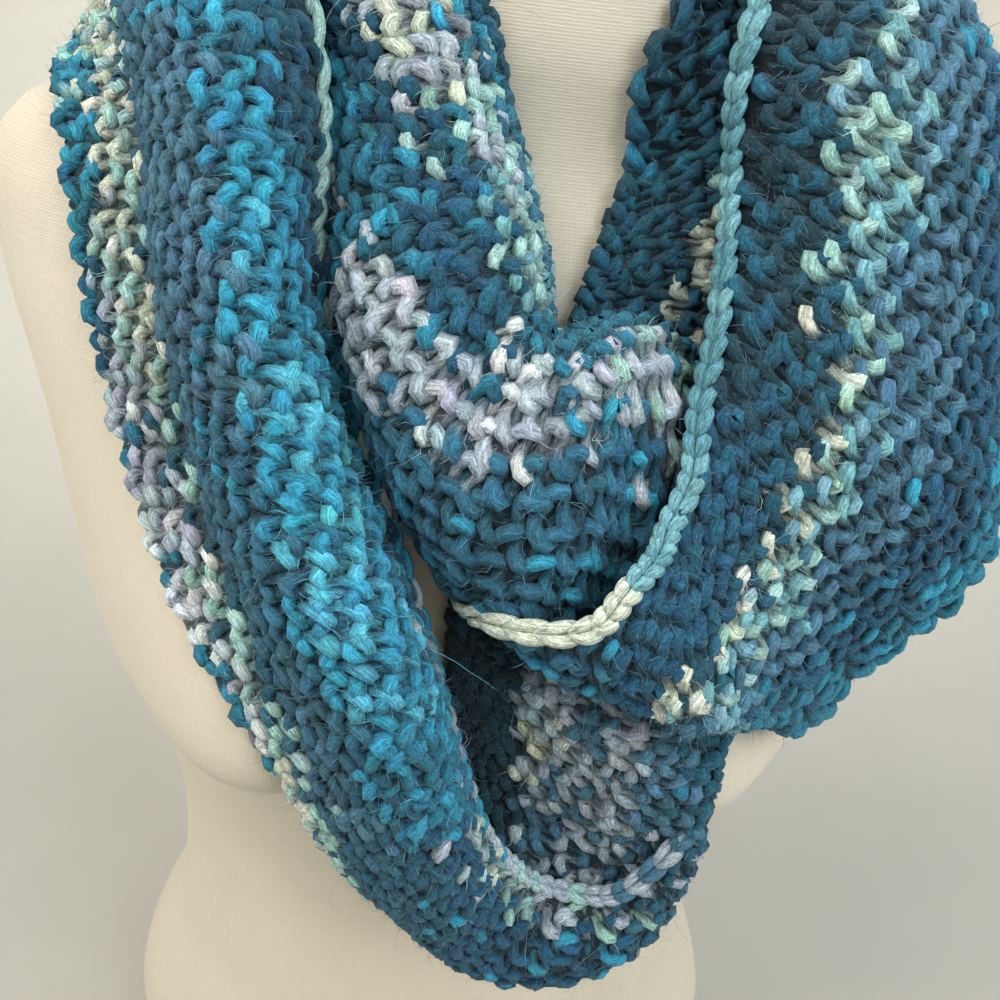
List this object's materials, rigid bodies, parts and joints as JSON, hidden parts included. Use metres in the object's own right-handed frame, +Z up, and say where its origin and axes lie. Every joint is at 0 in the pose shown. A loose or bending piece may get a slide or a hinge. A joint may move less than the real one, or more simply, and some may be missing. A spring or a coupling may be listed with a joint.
{
  "type": "infinity scarf on a dress form",
  "caption": "Chunky hand-knitted infinity scarf in striped wool, wound twice round the neck of a limbless, linen-covered dress form.",
  "frame": {"origin": "centre of the dress form's flat underside, on the surface that it stands on", "axes": "+Z up along the form, -Y towards the front (the bust and the scarf's drape), +X towards the wearer's left, which is the viewer's right"},
  "size_m": [0.363, 0.2847, 0.627],
  "materials": {
    "linen": "matt plain-weave linen",
    "wool_teal": "matt, fuzzy wool",
    "wool_turquoise": "matt, fuzzy wool",
    "wool_slate": "matt, fuzzy wool",
    "wool_lavender": "matt, fuzzy wool"
  },
  "bodies": {
    "root": {"dress_form": "linen", "left_fall": "wool_turquoise", "lower_turn": "wool_teal", "right_rise": "wool_slate", "nape_inner": "wool_slate", "inner_drape": "wool_lavender", "right_fall": "wool_teal", "nape_outer": "wool_turquoise"}
  },
  "joints": []
}
